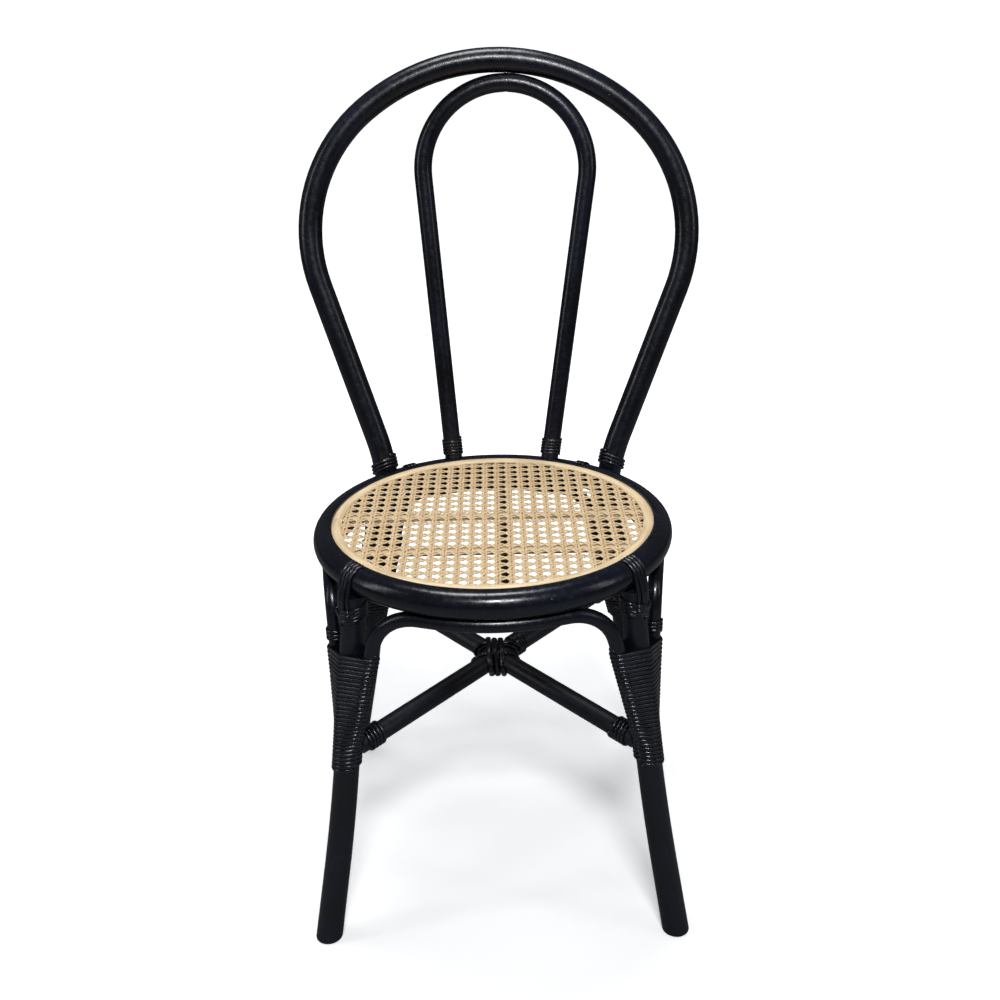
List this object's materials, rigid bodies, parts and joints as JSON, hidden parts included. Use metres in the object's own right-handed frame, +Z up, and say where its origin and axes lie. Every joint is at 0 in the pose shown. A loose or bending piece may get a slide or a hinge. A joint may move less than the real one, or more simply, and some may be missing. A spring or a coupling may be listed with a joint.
{
  "type": "bistro chair",
  "caption": "Free-standing bistro chair of bent black poles lashed with cane peel, with a double-hoop back and a round woven cane seat",
  "frame": {"origin": "on the floor, under the middle of the round seat", "axes": "+Z is up, +Y is the back of the chair, +X is the left hand side of a person who sits in it"},
  "size_m": [0.4807, 0.4773, 0.9355],
  "materials": {
    "black_pole": "satin black lacquer on rattan pole",
    "black_peel": "satin black lacquer on flat cane peel",
    "seat_cane": "natural woven cane, unpainted",
    "natural_strip": "natural cane strip, unpainted",
    "dowel_wood": "plain hardwood dowel, hidden in its hole",
    "steel_fixing": "plain steel, hidden in its hole"
  },
  "bodies": {
    "root": {"arch_nails": "steel_fixing", "back_hoop": "black_pole", "centre_bar_dowels": "dowel_wood", "centre_lashing_over": "black_peel", "centre_lashing_under": "black_peel", "crossing_nail": "steel_fixing", "crown_screw": "steel_fixing", "front_arch": "black_pole", "front_leg_left": "black_pole", "front_leg_right": "black_pole", "front_stretcher_binding_left": "black_peel", "front_stretcher_binding_right": "black_peel", "front_wrap_left": "black_peel", "front_wrap_right": "black_peel", "hoop_lashing_left": "black_peel", "hoop_lashing_right": "black_peel", "hoop_screws": "steel_fixing", "inner_hoop": "black_pole", "inner_hoop_binding_left": "black_peel", "inner_hoop_binding_right": "black_peel", "inner_hoop_dowels": "dowel_wood", "left_arch": "black_pole", "leg_band_left": "black_peel", "leg_band_right": "black_peel", "leg_dowels": "dowel_wood", "rear_arch": "black_pole", "rear_stretcher_binding_left": "black_peel", "rear_stretcher_binding_right": "black_peel", "rear_wrap_left": "black_peel", "rear_wrap_right": "black_peel", "right_arch": "black_pole", "rim_brads": "steel_fixing", "ring_saddle_left": "black_peel", "ring_saddle_right": "black_peel", "seat_cane": "seat_cane", "seat_centre_bar": "black_pole", "seat_cross_slats": "natural_strip", "seat_rim_strip": "natural_strip", "seat_ring": "black_pole", "side_arch_binding_left": "black_peel", "side_arch_binding_right": "black_peel", "slat_end_pins": "steel_fixing", "slat_nails": "steel_fixing", "stretcher_left": "black_pole", "stretcher_pins": "steel_fixing", "stretcher_right": "black_pole"}
  },
  "joints": []
}
